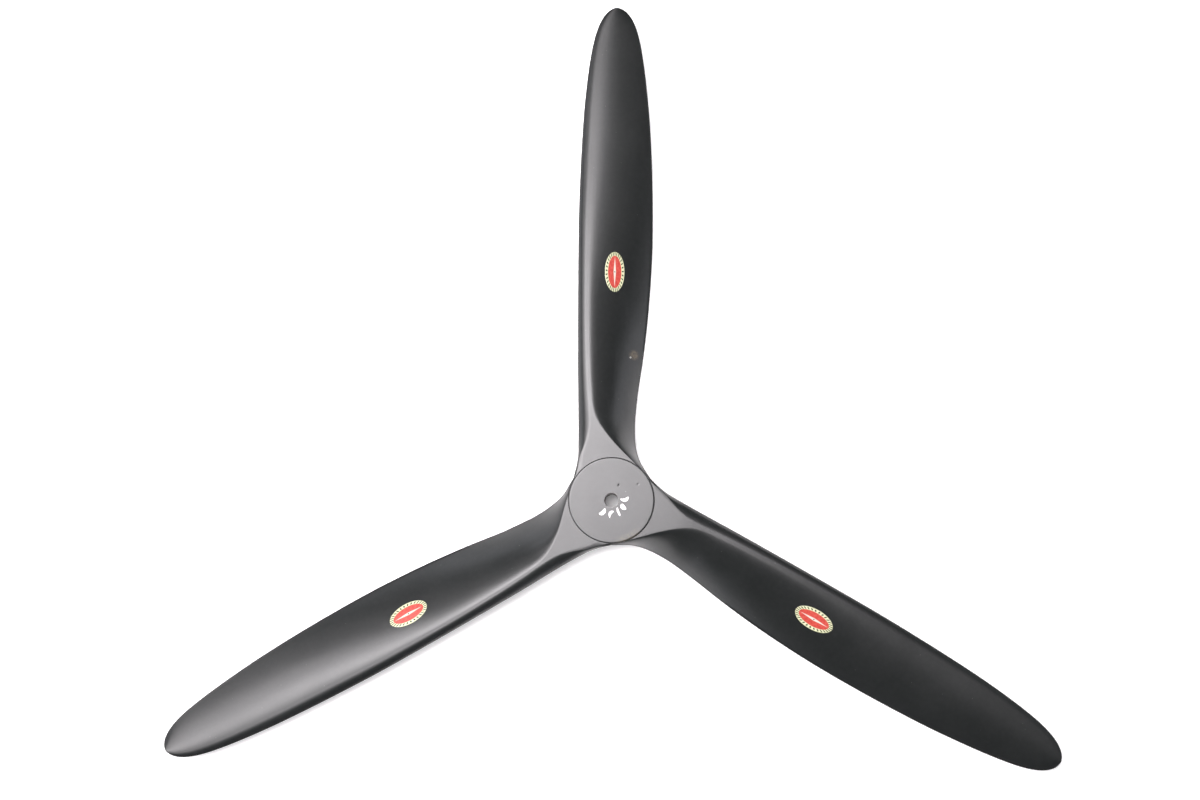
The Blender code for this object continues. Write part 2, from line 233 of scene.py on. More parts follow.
# dabs of white paint pen on the disc, in mm and degrees: x, y, turn, length, width, bend, taper
PEN_DABS = [
    (9.8, 0.9, 14.0, 6.3, 2.4, 1.5, 0.16),
    (8.7, -4.9, -48.0, 5.2, 3.1, 0.5, -0.12),
    (5.2, -8.4, -70.0, 6.6, 1.5, 0.2, 0.10),
    (-0.5, -10.1, 62.0, 5.8, 2.1, -1.3, 0.34),
    (-6.3, -8.7, 46.0, 6.2, 2.8, 0.9, -0.20),
]
PEN_THICKNESS = 0.09 * MM
PEN_LIFT = 0.004 * MM
PEN_EDGE = 0.003 * MM
PEN_STEPS_ALONG = 40
PEN_STEPS_ACROSS = 14
# how blunt their ends are, seen from above and in height
PEN_END_POWER = 2.6
PEN_END_LEAST = 0.0004
PEN_DOME_POWER = 5
# how much their width, middle line and height wander, in their own measure, and how often
PEN_WIDTH_WANDER = (0.10, 2.4)
PEN_MIDDLE_WANDER = (0.12, 1.7)
PEN_HEIGHT_WANDER = (0.3, 0.9)
PEN_USUAL_HEIGHT = 0.8
PEN_BEND_MIDDLE = 0.4

# satin paint: colours where it is fresh and where it is worn, and its roughness
BLACK = (0.0086, 0.0098, 0.0097, 1.0)
WORN_BLACK = (0.0128, 0.0140, 0.0140, 1.0)
PAINT_ROUGHNESS = 0.30
ROUGHNESS_SWING = 0.012
# how fine its unevenness is, in cycles per metre, and how high the grain and the spray stand
CLOUD_SCALE = 22.0
MOTTLE_SCALE = 330.0
SHEEN_SCALE = 60.0
SPRAY_SCALE = 420.0
BLADE_GRAIN = (900.0, 30.0, 900.0)
DISC_GRAIN = (500.0, 40.0, 500.0)
GRAIN_HEIGHT = 0.020 * MM
SPRAY_HEIGHT = 0.010 * MM
# layers of dust specks: cells per metre, share of cells left bare, size in a cell, and cover
DUST = (0.17, 0.17, 0.16, 1.0)
DUST_LAYERS = [(95.0, 0.80, 0.040, 0.6), (240.0, 0.86, 0.080, 0.35)]

# bare and rubbed places
BARE_WOOD = (0.040, 0.022, 0.015, 1.0)
RUBBED_WOOD = (0.085, 0.066, 0.042, 1.0)
CHIP_WHITE = (0.26, 0.26, 0.24, 1.0)
CHIP_RIM = (0.012, 0.009, 0.007, 1.0)
WEAR_SCALE = 700.0
# how soft the edges of the patch, of the chip and of its rim are, and how dark the rim is
PATCH_SOFTNESS = 0.55
CHIP_SOFTNESS = 0.25
CHIP_RIM_SOFTNESS = 0.2
CHIP_RIM_COVER = 0.8
# how far out from the bore's wall the paint starts, and where it covers fully
BORE_PAINT = (0.05 * MM, 0.15 * MM)
# the rub on the rim of the front plate: where it is, half its angle, how far in it starts and is
# full, and how far below the face it fades out
RUB_COLOUR = (0.038, 0.032, 0.017, 1.0)
RUB_ANGLE = math.radians(-64.0)
RUB_HALF_ANGLE = math.radians(24.0)
RUB_START = 6.0 * MM
RUB_FULL = 2.5 * MM
RUB_DEPTH = (0.6 * MM, 0.3 * MM)

# colours and surface of the stickers and of the paint pen, again with scales in cycles per metre
STICKER_RED = (0.43, 0.062, 0.045, 1.0)
STICKER_RED_DARK = (0.35, 0.034, 0.027, 1.0)
STICKER_CREAM = (0.50, 0.51, 0.33, 1.0)
STICKER_WHITE = (0.50, 0.46, 0.40, 1.0)
STICKER_GREEN = (0.022, 0.036, 0.010, 1.0)
STICKER_ROUGHNESS = (0.34, 0.42)
INK_SCALE = 500.0
STICKER_SHEEN_SCALE = 160.0
STICKER_WAVE_SCALE = 350.0
STICKER_WAVE_HEIGHT = 0.01 * MM
PEN_WHITE = (0.92, 0.92, 0.91, 1.0)
PEN_WHITE_THIN = (0.78, 0.78, 0.77, 1.0)
PEN_ROUGHNESS = 0.45
PEN_COVER_SCALE = 650.0
PEN_LUMP_SCALE = 1200.0
PEN_LUMP_HEIGHT = 0.02 * MM

# white floor with a faint glow of its own, painted light that lifts its shadows, which fades under
# the hub as painted shade
FLOOR_HALF = 12.0
FLOOR_WHITE = (0.82, 0.82, 0.82, 1.0)
FLOOR_WHITE_DARK = (0.80, 0.80, 0.80, 1.0)
FLOOR_ROUGHNESS = 0.8
FLOOR_TINT_SCALE = 3.0
FLOOR_GLOW = 0.37
SHADED_GLOW = 0.10
SHADED_RADIUS = (10.0 * MM, 28.0 * MM)
# soft light from above: name, side from and to along X, from and to along Y, and brightness
CEILING_HEIGHT = 2.0
CEILING_BOXES = [
    ("middle_low", (-0.9, -0.1), (-0.1, 0.3), 11.7),
    ("middle_high", (-0.9, 0.1), (0.3, 0.9), 6.7),
    ("middle_right", (-0.5, 0.3), (0.1, 0.7), 5.3),
    ("middle_wide", (-1.5, 0.3), (-0.3, 0.9), 5.2),
    ("upper", (-0.9, 0.3), (0.3, 1.5), 2.4),
    ("right", (0.3, 0.9), (0.3, 0.7), 2.8),
    ("left_low", (-2.7, -0.9), (-0.3, 0.3), 4.5),
    ("left_high", (-2.1, -1.5), (0.3, 0.9), 6.7),
    ("left_far", (-2.7, -2.1), (0.3, 2.1), 3.2),
    ("left_lower", (-2.7, -0.3), (-0.9, 0.3), 2.2),
    ("ceiling", (-2.7, 2.1), (-0.9, 2.1), 0.37),
]
CEILING_COLOUR = (1.025, 0.985, 1.01)
# upright soft boxes round the object: direction in degrees, brightness
SIDE_BOXES = [
    (135, 2.2), (165, 2.0), (195, 1.9), (225, 3.1), (315, 2.2), (345, 1.8), (15, 1.8),
]
SIDE_DISTANCE = 2.9
SIDE_SIZE = (1.45, 0.9)
SIDE_HEIGHT = 0.55
SIDE_COLOUR = (0.98, 0.985, 1.05)

CAMERA_PLACE = (0.02694, -0.04824, 1.2663)
CAMERA_TURN = (math.radians(5.673), math.radians(1.681), math.radians(0.601))
CAMERA_LENS = 50.01
CAMERA_SENSOR = 36.0
CAMERA_NEAREST = 0.05


def smooth_curve(points, place):
    """Height of a smooth curve through the points (in mm) at a place along it, in metres."""
    place = place / MM
    last = len(points) - 1
    place = min(max(place, points[0][0]), points[last][0])
    index = 0
    while index < last - 1 and place > points[index + 1][0]:
        index += 1
    (x0, y0), (x1, y1) = points[index], points[index + 1]
    step = x1 - x0

    def slope(i):
        before = points[max(i - 1, 0)]
        after = points[min(i + 1, last)]
        return (after[1] - before[1]) / (after[0] - before[0])

    t = (place - x0) / step
    rise0 = slope(index) * step
    rise1 = slope(index + 1) * step
    height = (
        (2 * t ** 3 - 3 * t ** 2 + 1) * y0
        + (t ** 3 - 2 * t ** 2 + t) * rise0
        + (3 * t ** 2 - 2 * t ** 3) * y1
        + (t ** 3 - t ** 2) * rise1
    )
    return height * MM


def tip_factor(radius):
    return math.sqrt(max(1.0 - (radius / TIP_RADIUS) ** TIP_POWER, 0.0))


def edge_offsets(radius):
    """Places across the blade of its leading and its trailing edge."""
    half_angle = math.pi / BLADE_COUNT
    mitre = radius * math.tan(half_angle) - JOINT_SETBACK / math.cos(half_angle)
    leading = smooth_curve(LEADING_EDGE, radius) * tip_factor(radius)
    trailing = smooth_curve(TRAILING_EDGE, radius) * tip_factor(radius)
    return -min(leading, mitre), min(trailing, mitre)


def curved_fall(distance, reach, fall, slope, power, rounding):
    """Fall behind a crease: it starts at a slope, rounded in, and steepens to its full depth."""
    distance = min(max(distance, 0.0), reach)
    start = math.sqrt(distance ** 2 + rounding ** 2) - rounding
    full_start = math.sqrt(reach ** 2 + rounding ** 2) - rounding
    return slope * start + (fall - slope * full_start) * (distance / reach) ** power


def rounded_end(distance, reach, power=2.0):
    """0 at the crest of a rounded edge and 1 at its end, where it stands upright."""
    share = min(max(distance / reach, 0.0), 1.0)
    return 1.0 - math.sqrt(1.0 - share ** power)


def nose_fall_share(distance, reach, power):
    """0 at the crest and 1 at the nose, which cuts the rounded edge off before it is upright."""
    return rounded_end(NOSE_CUT * distance, reach, power) / rounded_end(NOSE_CUT, 1.0, power)


def section_shape(radius):
    """The named sizes of the blade's section at one radius, in metres."""
    leading, trailing = edge_offsets(radius)
    width = trailing - leading
    tip = tip_factor(radius)
    thinning = math.sqrt(tip)
    middle = 0.5 * BLOCK_THICKNESS
    least = LEAST_SHARE * width
    crest = middle + (smooth_curve(CREST_HEIGHT, radius) - middle) * thinning
    crest_leading = max(smooth_curve(CREST_LEADING, radius) * tip, leading + least)
    crest_trailing = smooth_curve(CREST_TRAILING, radius) * tip
    crest_trailing = min(max(crest_trailing, crest_leading + least), trailing - least)
    rear_crease = smooth_curve(REAR_CREASE, radius) * tip
    rear_crease = min(max(rear_crease, leading + LEAST_REAR_SHARE * width), trailing - least)
    fade_start, fade_end = NOSE_ROUNDING_FADE
    fade = min(max((radius - fade_start) / (fade_end - fade_start), 0.0), 1.0)
    nose = crest - smooth_curve(NOSE_FALL, radius) * thinning
    tail = crest - smooth_curve(TAIL_FALL, radius) * thinning
    return {
        "leading": leading,
        "trailing": trailing,
        "width": width,
        "crest": crest,
        "crest_leading": crest_leading,
        "crest_trailing": crest_trailing,
        "rear_crease": rear_crease,
        "nose": nose,
        "nose_low": nose - smooth_curve(NOSE_THICKNESS, radius) * thinning,
        "nose_reach": 0.5 * least + NOSE_ROUNDING * fade * tip,
        "nose_rise": NOSE_ROUNDING_RISE * fade * thinning,
        "tail": tail,
        "tail_low": tail - smooth_curve(TAIL_THICKNESS, radius) * thinning,
        "slope": smooth_curve(TAIL_SLOPE, radius) / MM,
        "rounding": smooth_curve(CREASE_ROUNDING, radius),
        "power": smooth_curve(TAIL_POWER, radius) / MM,
        "nose_power": smooth_curve(NOSE_POWER, radius) / MM,
        "rear_power": smooth_curve(REAR_POWER, radius) / MM,
    }


def front_height(s, x):
    """Height of the cambered front of the blade at a place across it."""
    if x < s["crest_leading"]:
        reach = s["crest_leading"] - s["leading"]
        fall = s["crest"] - s["nose"]
        return s["crest"] - fall * nose_fall_share(s["crest_leading"] - x, reach, s["nose_power"])
    reach = s["trailing"] - s["crest_trailing"]
    distance = x - s["crest_trailing"]
    fall = s["crest"] - s["tail"]
    return s["crest"] - curved_fall(distance, reach, fall, s["slope"], s["power"], s["rounding"])


def rear_height(s, x):
    """Height of the rear of the blade, flat across outboard and on the block's rear inboard."""
    reach = s["rear_crease"] - s["leading"]
    rise = s["nose_low"] - s["tail_low"]
    slanted = rise * (max(s["rear_crease"] - x, 0.0) / reach) ** s["rear_power"]
    to_nose = s["nose_reach"] - (x - s["leading"])
    return s["tail_low"] + slanted + s["nose_rise"] * rounded_end(to_nose, s["nose_reach"])


def spread(start, end, count, power=1.0):
    """Places from start towards end, without start itself; a power over 1 crowds them at start."""
    return [start + (end - start) * (i / count) ** power for i in range(1, count + 1)]


def tail_edge(s, tail_end):
    """Points round the trailing edge from the front to the rear, with rounded corners."""
    top = front_height(s, tail_end)
    bottom = rear_height(s, tail_end)
    reach = s["trailing"] - tail_end
    corner = min(TAIL_CORNER, 0.5 * (top - bottom))
    points = []
    for i in range(1, TAIL_CORNER_POINTS + 1):
        angle = 0.5 * math.pi * i / TAIL_CORNER_POINTS
        height = top - corner * (1.0 - math.cos(angle))
        points.append((tail_end + reach * math.sin(angle), height))
    for i in range(TAIL_CORNER_POINTS):
        angle = 0.5 * math.pi * i / TAIL_CORNER_POINTS
        height = bottom + corner * (1.0 - math.sin(angle))
        points.append((tail_end + reach * math.cos(angle), height))
    return points


def section(radius):
    """Points round the blade at one radius: over the front to the trailing edge and back."""
    s = section_shape(radius)
    tail_end = s["trailing"] - min(TAIL_CORNER, TAIL_CORNER_SHARE * s["width"])
    nose_end = s["leading"] + EDGE_SHARE * s["width"]
    nose_start = s["leading"] + s["nose_reach"]
    front = spread(s["leading"], s["crest_leading"], FRONT_NOSE_POINTS, FRONT_NOSE_CROWDING)
    front += spread(s["crest_leading"], s["crest_trailing"], FACET_POINTS)
    front += spread(s["crest_trailing"], tail_end, FRONT_TAIL_POINTS, FRONT_TAIL_CROWDING)
    rear = [tail_end, 0.5 * (tail_end + s["rear_crease"]), s["rear_crease"]]
    rear += spread(s["rear_crease"], nose_start, REAR_POINTS)
    rear += spread(nose_start, nose_end, REAR_NOSE_POINTS, REAR_NOSE_CROWDING)
    nose_middle = 0.5 * (front_height(s, front[0]) + rear_height(s, rear[-1]))
    points = [(s["leading"], nose_middle)]
    points += [(x, front_height(s, x)) for x in front]
    points += tail_edge(s, tail_end)
    points += [(x, rear_height(s, x)) for x in rear]
    return [(x, BLOCK_REAR + z) for x, z in points]


def station_radii():
    radii = [ROOT_START]
    for start, end, steps in STATION_STRETCHES:
        radii += [(start + (end - start) * i / steps) * MM for i in range(1, steps + 1)]
    start = radii[-1]
    last = TIP_RADIUS - TIP_END
    for i in range(1, TIP_STATIONS + 1):
        radii.append(start + (last - start) * math.sin(0.5 * math.pi * i / TIP_STATIONS))
    return radii


def bridge(work, first, second):
    """Faces between two closed loops of points, where a loop of one point is a pole."""
    for i in range(max(len(first), len(second))):
        near = [first[i % len(first)], first[(i + 1) % len(first)]]
        far = [second[(i + 1) % len(second)], second[i % len(second)]]
        work.faces.new(list(dict.fromkeys(near + far)))


def mesh_from(work, name):
    bmesh.ops.recalc_face_normals(work, faces=work.faces)
    mesh = bpy.data.meshes.new(name)
    work.to_mesh(mesh)
    work.free()
    return mesh


def loft_blade():
    """The fine blade along +Y from its mitred root to its tip, not yet recessed and bored."""
    work = bmesh.new()
    rings = []
    for radius in station_radii():
        rings.append([work.verts.new((x, radius, z)) for x, z in section(radius)])
    for inner, outer in zip(rings, rings[1:]):
        bridge(work, inner, outer)
    work.faces.new(list(reversed(rings[0])))
    work.faces.new(rings[-1])
    return mesh_from(work, "blade")


def turned_mesh(name, profile):
    """A solid turned about Z from (radius, height) points: a profile that starts and ends on the
    axis, or a closed outline clear of it, which leaves a hole."""
    work = bmesh.new()
    rings = []
    for radius, height in profile:
        if radius == 0.0:
            rings.append([work.verts.new((0.0, 0.0, height))])
            continue
        ring = []
        for i in range(ROUND_SEGMENTS):
            angle = 2.0 * math.pi * i / ROUND_SEGMENTS
            x, y = radius * math.cos(angle), radius * math.sin(angle)
            ring.append(work.verts.new((x, y, height)))
        rings.append(ring)
    pairs = list(zip(rings, rings[1:]))
    if profile[0][0] > 0.0:
        pairs.append((rings[-1], rings[0]))
    for low, high in pairs:
        bridge(work, low, high)
    return mesh_from(work, name)


def add_object(name, mesh):
    thing = bpy.data.objects.new(name, mesh)
    bpy.context.scene.collection.objects.link(thing)
    return thing


def cut_hub(mesh):
    """The mesh with the two recesses of the hub and the bore cut out of it."""
    blade = add_object("uncut_blade", mesh)
    recess = DISC_RADIUS + RECESS_GAP
    depth = DISC_THICKNESS - (DISC_TOP - BLOCK_FRONT) + RECESS_GAP
    below = BLOCK_REAR - CUTTER_CLEARANCE
    above = BLOCK_FRONT + CUTTER_CLEARANCE
    cutters = []
    for name, radius, shift, low, high in (
        ("front_recess", recess, RECESS_SHIFT, BLOCK_FRONT - depth, above),
        ("rear_recess", recess, RECESS_SHIFT, below, BLOCK_REAR + depth),
        ("bore", BORE_RADIUS, (0.0, 0.0), below, above),
    ):
        profile = [(0.0, low), (radius, low), (radius, high), (0.0, high)]
        cutter = add_object(name, turned_mesh(name, profile))
        cutter.location = (shift[0], shift[1], 0.0)
        step = blade.modifiers.new(name, "BOOLEAN")
        step.operation = "DIFFERENCE"
        step.solver = "EXACT"
        step.object = cutter
        cutters.append(cutter)
    bpy.context.view_layer.update()
    seen = blade.evaluated_get(bpy.context.evaluated_depsgraph_get())
    result = bpy.data.meshes.new_from_object(seen)
    for helper in cutters + [blade]:
        bpy.data.objects.remove(helper, do_unlink=True)
    return result


def store_places(mesh):
    """Keeps each vertex's place in the blade's own frame, which its material reads."""
    layer = mesh.attributes.new("place", "FLOAT_VECTOR", "POINT")
    for vertex in mesh.vertices:
        layer.data[vertex.index].vector = vertex.co


def press_chip(mesh):
    """A small pit where a flake of paint came off."""
    for vertex in mesh.vertices:
        distance = math.hypot(vertex.co.x - CHIP_PLACE[0], vertex.co.y - CHIP_PLACE[1])
        if vertex.normal.z > CHIP_LEAST_NORMAL and distance < CHIP_RADIUS:
            vertex.co.z -= CHIP_DEPTH * (1.0 - (distance / CHIP_RADIUS) ** 2)


def shade(mesh, material, sharp_angle=SHARP_ANGLE):
    mesh.materials.clear()
    mesh.materials.append(material)
    mesh.shade_smooth()
    mesh.set_sharp_from_angle(angle=sharp_angle)


def finish_piece(thing, node=None):
    """Sets the piece on its body, in place of a node of the model where it stands for one."""
    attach(thing, BODY)
    if node:
        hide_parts(node)


def set_on_hub(mesh, number):
    """Gives the mesh what is its own on one blade and turns it to its place on the hub."""
    lean = BLADE_LEANS[number] / (TIP_RADIUS - LEAN_START)
    for vertex in mesh.vertices:
        x, radius, _ = vertex.co
        leading, trailing = edge_offsets(radius)
        if x < 0.0:
            extra = smooth_curve(NOSE_EXTRAS[number], radius) * min(x / leading, 1.0)
        else:
            extra = smooth_curve(TAIL_EXTRAS[number], radius) * min(x / trailing, 1.0)
        vertex.co.x = x + extra + lean * max(radius - LEAN_START, 0.0)
    mesh.transform(Matrix.Rotation(2.0 * math.pi * number / BLADE_COUNT, 4, "Z"))


def make_blades(material):
    plain = cut_hub(loft_blade())
    store_places(plain)
    for number in range(BLADE_COUNT):
        mesh = plain.copy()
        if number == 0:
            press_chip(mesh)
        set_on_hub(mesh, number)
        shade(mesh, material(number))
        node = "blade_%d" % (number + 1)
        finish_piece(add_object(node + "_carved", mesh), node)


def disc_profile():
    """(radius, height) outline of the front plate, round from its rear face at the bore."""
    bottom = DISC_TOP - DISC_THICKNESS
    points = [(BORE_RADIUS, bottom), (DISC_RADIUS, bottom)]
    for i in range(DISC_EDGE_STEPS + 1):
        angle = 0.5 * math.pi * i / DISC_EDGE_STEPS
        across = DISC_RADIUS - DISC_EDGE_WIDTH * (1.0 - math.cos(angle))
        points.append((across, DISC_TOP - DISC_EDGE_DEPTH * (1.0 - math.sin(angle))))
    outer = DISC_RADIUS - DISC_EDGE_WIDTH
    inner = BORE_RADIUS + BORE_EDGE_ROUND
    points += [(radius, DISC_TOP) for radius in spread(outer, inner, DISC_FACE_STEPS)]
    for i in range(1, BORE_EDGE_STEPS + 1):
        angle = 0.5 * math.pi * i / BORE_EDGE_STEPS
        across = inner - BORE_EDGE_ROUND * math.sin(angle)
        points.append((across, DISC_TOP - BORE_EDGE_ROUND * (1.0 - math.cos(angle))))
    return points


def press_dents(mesh):
    for vertex in mesh.vertices:
        for x, y, radius, depth in DISC_DENTS:
            distance = math.hypot(vertex.co.x - x, vertex.co.y - y)
            if distance < radius and vertex.co.z > DISC_TOP - DISC_EDGE_DEPTH:
                vertex.co.z -= depth * (1.0 - (distance / radius) ** 2) ** 2


def make_discs(material):
    front = turned_mesh("front_hub_plate", disc_profile())
    press_dents(front)
    shade(front, material)
    finish_piece(add_object("front_hub_plate", front), "front_hub_disc")
    rear = turned_mesh("rear_hub_plate", disc_profile())
    rear.transform(Matrix.Translation((0.0, 0.0, DISC_TOP)) @ Matrix.Rotation(math.pi, 4, "X"))
    shade(rear, material)
    finish_piece(add_object("rear_hub_plate", rear), "rear_hub_disc")


def sticker_mesh(name):
    """A thin oval that follows the blade's front, with its own place kept for the print."""
    work = bmesh.new()
    layer = work.verts.layers.float_vector.new("place")

    def point(share, angle, lift):
        across = STICKER_HALF_WIDTH * share * math.cos(angle)
        along = STICKER_HALF_LENGTH * share * math.sin(angle)
        radius = STICKER_PLACE + along
        height = BLOCK_REAR + front_height(section_shape(radius), across) + lift
        vertex = work.verts.new((across, radius, height))
        vertex[layer] = (across, along, 0.0)
        return vertex

    def ring(share, lift):
        turns = [i / STICKER_SEGMENTS for i in range(STICKER_SEGMENTS)]
        return [point(share, 2.0 * math.pi * turn, lift) for turn in turns]

    low, high = STICKER_GLUE, STICKER_GLUE + STICKER_THICKNESS
    shares = [i / STICKER_RINGS for i in range(1, STICKER_RINGS)]
    loops = [[point(0.0, 0.0, low)]]
    loops += [ring(share, low) for share in shares + [1.0]]
    loops += [ring(1.0, low + STICKER_RIM_HEIGHT), ring(STICKER_RIM_SHARE, high)]
    loops += [ring(share, high) for share in reversed(shares)]
    loops += [[point(0.0, 0.0, high)]]
    for first, second in zip(loops, loops[1:]):
        bridge(work, first, second)
    return mesh_from(work, name)


def make_stickers(material):
    for number in range(BLADE_COUNT):
        name = "sticker_%d" % (number + 1)
        mesh = sticker_mesh(name)
        set_on_hub(mesh, number)
        shade(mesh, material, THIN_SHARP_ANGLE)
        finish_piece(add_object(name, mesh))


def crowded_ends(steps):
    """Places from -1 to 1, closer together towards both ends."""
    return [math.sin(0.5 * math.pi * (-1.0 + 2.0 * i / steps)) for i in range(steps + 1)]


def border(rows):
    """The points round the edge of a grid of rows, in order."""
    right_side = [row[-1] for row in rows[1:]]
    left_side = [row[0] for row in rows[-2:0:-1]]
    return rows[0] + right_side + rows[-1][-2::-1] + left_side


def make_pen_dab(number, dab, material):
    """A short raised dab of white paint with an uneven edge, lying on the disc."""
    x, y, turn, length, width, bend, taper = dab
    seed = Vector((number * 7.3, 2.1, 0.0))
    low = DISC_TOP + PEN_LIFT
    turned = Matrix.Rotation(math.radians(turn), 4, "Z")
    place = Matrix.Translation((x * MM, y * MM, 0.0)) @ turned
    width_swing, width_waves = PEN_WIDTH_WANDER
    middle_swing, middle_waves = PEN_MIDDLE_WANDER
    height_swing, height_waves = PEN_HEIGHT_WANDER
    work = bmesh.new()
    rows_top, rows_low = [], []
    for along in crowded_ends(PEN_STEPS_ALONG):
        half = 0.5 * width * math.sqrt(max(1.0 - abs(along) ** PEN_END_POWER, PEN_END_LEAST))
        half *= 1.0 + taper * along
        half *= 1.0 + width_swing * noise.noise(seed + Vector((along * width_waves, 0.0, 0.0)))
        middle = bend * (along * along - PEN_BEND_MIDDLE)
        middle += middle_swing * noise.noise(seed + Vector((0.0, along * middle_waves, 3.0)))
        rounded = math.sqrt(max(1.0 - abs(along) ** PEN_DOME_POWER, 0.0))
        top, bottom = [], []
        for across in crowded_ends(PEN_STEPS_ACROSS):
            spot = Vector((0.5 * length * along * MM, (middle + half * across) * MM, 0.0))
            dome = math.sqrt(max(1.0 - across * across, 0.0)) * rounded
            wander = height_swing * noise.noise(seed + spot / MM * height_waves)
            height = low + PEN_EDGE + PEN_THICKNESS * dome * (PEN_USUAL_HEIGHT + wander)
            flat = place @ spot
            top.append(work.verts.new((flat.x, flat.y, height)))
            bottom.append(work.verts.new((flat.x, flat.y, low)))
        rows_top.append(top)
        rows_low.append(bottom)
    for rows in (rows_top, rows_low):
        for first, second in zip(rows, rows[1:]):
            for k in range(PEN_STEPS_ACROSS):
                work.faces.new((first[k], first[k + 1], second[k + 1], second[k]))
    bridge(work, border(rows_top), border(rows_low))
    name = "pen_dab_%d" % (number + 1)
    mesh = mesh_from(work, name)
    shade(mesh, material, THIN_SHARP_ANGLE)
    finish_piece(add_object(name, mesh))


class Nodes:
    """Short ways to add the nodes of one material."""

    def __init__(self, name):
        self.material = bpy.data.materials.new(name)
        self.material.use_nodes = True
        self.tree = self.material.node_tree
        self.shader = self.tree.nodes["Principled BSDF"]

    def feed(self, socket, value):
        if isinstance(value, bpy.types.NodeSocket):
            self.tree.links.new(value, socket)
        else:
            socket.default_value = value

    def place(self):
        """The place that is kept with each point of the mesh."""
        node = self.tree.nodes.new("ShaderNodeAttribute")
        node.attribute_name = "place"
        return node.outputs["Vector"]

    def object_place(self):
        return self.tree.nodes.new("ShaderNodeTexCoord").outputs["Object"]

    def facing_front(self):
        """1 where the surface faces the front of the propeller and 0 where it faces the rear."""
        upward = self.parts(self.tree.nodes.new("ShaderNodeTexCoord").outputs["Normal"])[2]
        return self.ramp(upward, 0.0, 0.3)

    def math(self, operation, first, second=0.0):
        node = self.tree.nodes.new("ShaderNodeMath")
        node.operation = operation
        self.feed(node.inputs[0], first)
        self.feed(node.inputs[1], second)
        return node.outputs[0]

    def product(self, first, *others):
        for other in others:
            first = self.math("MULTIPLY", first, other)
        return first

    def length(self, x, y):
        squares = self.math("ADD", self.product(x, x), self.product(y, y))
        return self.math("SQRT", squares)

    def parts(self, vector):
        node = self.tree.nodes.new("ShaderNodeSeparateXYZ")
        self.feed(node.inputs[0], vector)
        return node.outputs

    def stretched(self, vector, scale):
        node = self.tree.nodes.new("ShaderNodeMapping")
        self.feed(node.inputs["Vector"], vector)
        node.inputs["Scale"].default_value = scale
        return node.outputs[0]

    def noise(self, vector, scale, detail=2.0, roughness=0.5):
        node = self.tree.nodes.new("ShaderNodeTexNoise")
        self.feed(node.inputs["Vector"], vector)
        node.inputs["Scale"].default_value = scale
        node.inputs["Detail"].default_value = detail
        node.inputs["Roughness"].default_value = roughness
        return node.outputs[0]

    def cells(self, vector, scale):
        node = self.tree.nodes.new("ShaderNodeTexVoronoi")
        self.feed(node.inputs["Vector"], vector)
        node.inputs["Scale"].default_value = scale
        return node.outputs

    def ramp(self, value, low, high, out_low=0.0, out_high=1.0):
        """A smooth step from out_low to out_high while the value goes from low to high."""
        node = self.tree.nodes.new("ShaderNodeMapRange")
        node.interpolation_type = "SMOOTHSTEP"
        numbers = {"From Min": low, "From Max": high, "To Min": out_low, "To Max": out_high}
        self.feed(node.inputs["Value"], value)
        for key, number in numbers.items():
            node.inputs[key].default_value = number
        return node.outputs[0]

    def blend(self, share, first, second):
        node = self.tree.nodes.new("ShaderNodeMix")
        node.data_type = "RGBA"
        colours = [s for s in node.inputs if s.type == "RGBA"]
        self.feed(node.inputs[0], share)
        self.feed(colours[0], first)
        self.feed(colours[1], second)
        return [s for s in node.outputs if s.type == "RGBA"][0]

    def oval_share(self, x, y, half_width, half_length):
        """1 on an oval about the origin, less inside it and more outside."""
        return self.length(self.math("DIVIDE", x, half_width), self.math("DIVIDE", y, half_length))

    def near(self, place, middle, radius, softness):
        """1 inside a round spot about a place in the XY plane and 0 outside it."""
        x, y, _ = self.parts(place)
        off_x = self.math("SUBTRACT", x, middle[0])
        off_y = self.math("SUBTRACT", y, middle[1])
        start, end = radius * (1.0 - softness), radius * (1.0 + softness)
        return self.ramp(self.length(off_x, off_y), start, end, 1.0, 0.0)

    def from_axis(self, place):
        """Distance from the shaft's axis."""
        x, y, _ = self.parts(place)
        return self.length(x, y)

    def bump(self, height, distance, before=None):
        node = self.tree.nodes.new("ShaderNodeBump")
        node.inputs["Strength"].default_value = 1.0
        node.inputs["Distance"].default_value = distance
        self.feed(node.inputs["Height"], height)
        if before:
            self.feed(node.inputs["Normal"], before)
        return node.outputs[0]


def paint_surface(nodes, place, grain_scale):
    """Satin paint over wood: sets roughness and bump, and gives the colour, mottled and dusty."""
    clouds = nodes.ramp(nodes.noise(place, CLOUD_SCALE, 3.0), 0.35, 0.75, 0.0, 0.5)
    mottling = nodes.ramp(nodes.noise(place, MOTTLE_SCALE, 3.0), 0.35, 0.70, 0.0, 0.5)
    colour = nodes.blend(nodes.math("ADD", clouds, mottling), BLACK, WORN_BLACK)
    for scale, bare_share, size, cover in DUST_LAYERS:
        specks = nodes.cells(place, scale)
        chosen = nodes.ramp(nodes.parts(specks["Color"])[0], bare_share, bare_share + 0.02)
        dot = nodes.ramp(specks["Distance"], 0.5 * size, size, 1.0, 0.0)
        colour = nodes.blend(nodes.product(chosen, dot, cover), colour, DUST)
    grain = nodes.noise(nodes.stretched(place, grain_scale), 1.0, 3.0, 0.6)
    spray = nodes.noise(place, SPRAY_SCALE)
    sheen = nodes.noise(place, SHEEN_SCALE)
    low, high = PAINT_ROUGHNESS - ROUGHNESS_SWING, PAINT_ROUGHNESS + ROUGHNESS_SWING
    nodes.feed(nodes.shader.inputs["Roughness"], nodes.ramp(sheen, 0.3, 0.7, low, high))
    normal = nodes.bump(spray, SPRAY_HEIGHT, nodes.bump(grain, GRAIN_HEIGHT))
    nodes.feed(nodes.shader.inputs["Normal"], normal)
    return colour


